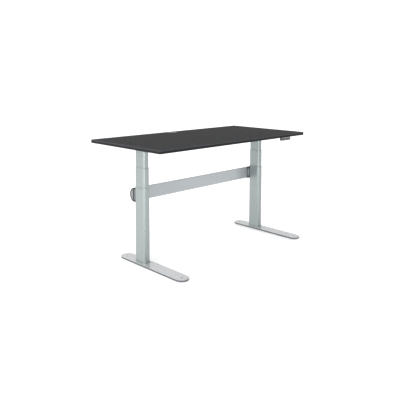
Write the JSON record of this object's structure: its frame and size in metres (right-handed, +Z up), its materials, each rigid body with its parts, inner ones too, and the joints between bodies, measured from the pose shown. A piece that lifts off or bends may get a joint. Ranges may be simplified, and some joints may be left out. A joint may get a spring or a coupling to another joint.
{
  "type": "height adjustable standing desk",
  "caption": "Rectangular standing desk on two three-stage powered lifting columns with flat feet, a half-round tie bar and a handset under the front edge.",
  "frame": {"origin": "on the floor, under the middle of the desk's bounding box, which the feet's noses and the desktop's rear edge set", "axes": "+X along the desktop's width to the user's right, -Y towards the user, +Z up"},
  "size_m": [1.6, 0.876, 0.8915],
  "materials": {
    "silver_paint": "satin silver-grey powder coat",
    "laminate": "matt charcoal laminate on chipboard, with a matching edge",
    "dark_metal": "dark grey paint",
    "black_plastic": "moulded black, fine texture",
    "grey_plastic": "moulded mid grey, fine texture",
    "bright_steel": "turned and drawn steel, lightly greased",
    "bronze": "turned bronze, and copper windings on the transformer",
    "display": "smoked window",
    "circuit_board": "green circuit board",
    "cable_sheath": "smooth black sheath"
  },
  "bodies": {
    "base": {"left_foot": "silver_paint", "left_outer_tube": "silver_paint", "left_outer_slide_ring": "grey_plastic", "left_push_tube": "bright_steel", "left_lower_nut": "bronze", "left_bar_cap": "silver_paint", "left_bar_bracket": "dark_metal", "right_foot": "silver_paint", "right_outer_tube": "silver_paint", "right_outer_slide_ring": "grey_plastic", "right_push_tube": "bright_steel", "right_lower_nut": "bronze", "right_bar_cap": "silver_paint", "right_bar_bracket": "dark_metal", "crossbar": "silver_paint"},
    "top": {"left_inner_tube": "silver_paint", "left_gear_motor": "dark_metal", "left_head_plate": "silver_paint", "left_support_arm": "silver_paint", "left_motor_cable": "cable_sheath", "right_inner_tube": "silver_paint", "right_gear_motor": "dark_metal", "right_head_plate": "silver_paint", "right_support_arm": "silver_paint", "right_motor_cable": "cable_sheath", "desktop": "laminate", "grommet_ring": "black_plastic", "handset_housing": "grey_plastic", "handset_display": "display", "handset_board": "circuit_board", "handset_cable": "cable_sheath", "control_box_tray": "black_plastic", "control_box_lid": "black_plastic", "control_board": "circuit_board", "transformer": "bronze", "mains_inlet": "black_plastic"},
    "left_middle": {"left_middle_tube": "silver_paint", "left_middle_slide_ring": "grey_plastic", "left_nut_carrier": "bright_steel", "left_upper_nut": "bronze", "left_screw_bearing": "bright_steel"},
    "left_drive_screw": {"left_drive_screw": "bright_steel"},
    "left_sleeve_screw": {"left_sleeve_screw": "bright_steel"},
    "right_middle": {"right_middle_tube": "silver_paint", "right_middle_slide_ring": "grey_plastic", "right_nut_carrier": "bright_steel", "right_upper_nut": "bronze", "right_screw_bearing": "bright_steel"},
    "right_drive_screw": {"right_drive_screw": "bright_steel"},
    "right_sleeve_screw": {"right_sleeve_screw": "bright_steel"},
    "left_front_glide": {"left_front_glide": "black_plastic"},
    "left_rear_glide": {"left_rear_glide": "black_plastic"},
    "right_front_glide": {"right_front_glide": "black_plastic"},
    "right_rear_glide": {"right_rear_glide": "black_plastic"},
    "up_button": {"up_button": "black_plastic"},
    "down_button": {"down_button": "black_plastic"},
    "memory_1_button": {"memory_1_button": "black_plastic"},
    "memory_2_button": {"memory_2_button": "black_plastic"},
    "memory_3_button": {"memory_3_button": "black_plastic"},
    "grommet_cap": {"grommet_cap": "black_plastic"}
  },
  "joints": [
    {"name": "lift", "type": "slide", "parent": "base", "child": "top", "axis": [0, 0, 1], "range_m": [-0.26, 0.39]},
    {"name": "left_middle_lift", "type": "slide", "parent": "base", "child": "left_middle", "axis": [0, 0, 1], "range_m": [-0.13, 0.195]},
    {"name": "left_drive_screw_turn", "type": "hinge", "parent": "top", "child": "left_drive_screw", "pos_m": [-0.638, 0.031, 0.5], "axis": [0, 0, 1], "range_deg": [-4680, 7020]},
    {"name": "left_sleeve_screw_turn", "type": "hinge", "parent": "left_middle", "child": "left_sleeve_screw", "pos_m": [-0.638, 0.031, 0.5], "axis": [0, 0, 1], "range_deg": [-4680, 7020]},
    {"name": "right_middle_lift", "type": "slide", "parent": "base", "child": "right_middle", "axis": [0, 0, 1], "range_m": [-0.13, 0.195]},
    {"name": "right_drive_screw_turn", "type": "hinge", "parent": "top", "child": "right_drive_screw", "pos_m": [0.638, 0.031, 0.5], "axis": [0, 0, 1], "range_deg": [-4680, 7020]},
    {"name": "right_sleeve_screw_turn", "type": "hinge", "parent": "right_middle", "child": "right_sleeve_screw", "pos_m": [0.638, 0.031, 0.5], "axis": [0, 0, 1], "range_deg": [-4680, 7020]},
    {"name": "left_front_glide_adjust", "type": "slide", "parent": "base", "child": "left_front_glide", "axis": [0, 0, -1], "range_m": [0, 0.006]},
    {"name": "left_rear_glide_adjust", "type": "slide", "parent": "base", "child": "left_rear_glide", "axis": [0, 0, -1], "range_m": [0, 0.006]},
    {"name": "right_front_glide_adjust", "type": "slide", "parent": "base", "child": "right_front_glide", "axis": [0, 0, -1], "range_m": [0, 0.006]},
    {"name": "right_rear_glide_adjust", "type": "slide", "parent": "base", "child": "right_rear_glide", "axis": [0, 0, -1], "range_m": [0, 0.006]},
    {"name": "up_press", "type": "slide", "parent": "top", "child": "up_button", "axis": [0, 1, 0], "range_m": [0, 0.001], "stiffness_N_per_m": 600, "springref_m": -0.0005},
    {"name": "down_press", "type": "slide", "parent": "top", "child": "down_button", "axis": [0, 1, 0], "range_m": [0, 0.001], "stiffness_N_per_m": 600, "springref_m": -0.0005},
    {"name": "memory_1_press", "type": "slide", "parent": "top", "child": "memory_1_button", "axis": [0, 1, 0], "range_m": [0, 0.001], "stiffness_N_per_m": 600, "springref_m": -0.0005},
    {"name": "memory_2_press", "type": "slide", "parent": "top", "child": "memory_2_button", "axis": [0, 1, 0], "range_m": [0, 0.001], "stiffness_N_per_m": 600, "springref_m": -0.0005},
    {"name": "memory_3_press", "type": "slide", "parent": "top", "child": "memory_3_button", "axis": [0, 1, 0], "range_m": [0, 0.001], "stiffness_N_per_m": 600, "springref_m": -0.0005},
    {"name": "grommet_cap_turn", "type": "hinge", "parent": "top", "child": "grommet_cap", "pos_m": [-0.045, 0.383, 0.89], "axis": [0, 0, 1], "continuous": true}
  ],
  "couplings": [
    {"joint": "left_middle_lift", "follows": "lift", "ratio": 0.5},
    {"joint": "left_drive_screw_turn", "follows": "lift", "rad_per_m": 314.16},
    {"joint": "left_sleeve_screw_turn", "follows": "lift", "rad_per_m": 314.16},
    {"joint": "right_middle_lift", "follows": "lift", "ratio": 0.5},
    {"joint": "right_drive_screw_turn", "follows": "lift", "rad_per_m": 314.16},
    {"joint": "right_sleeve_screw_turn", "follows": "lift", "rad_per_m": 314.16}
  ]
}
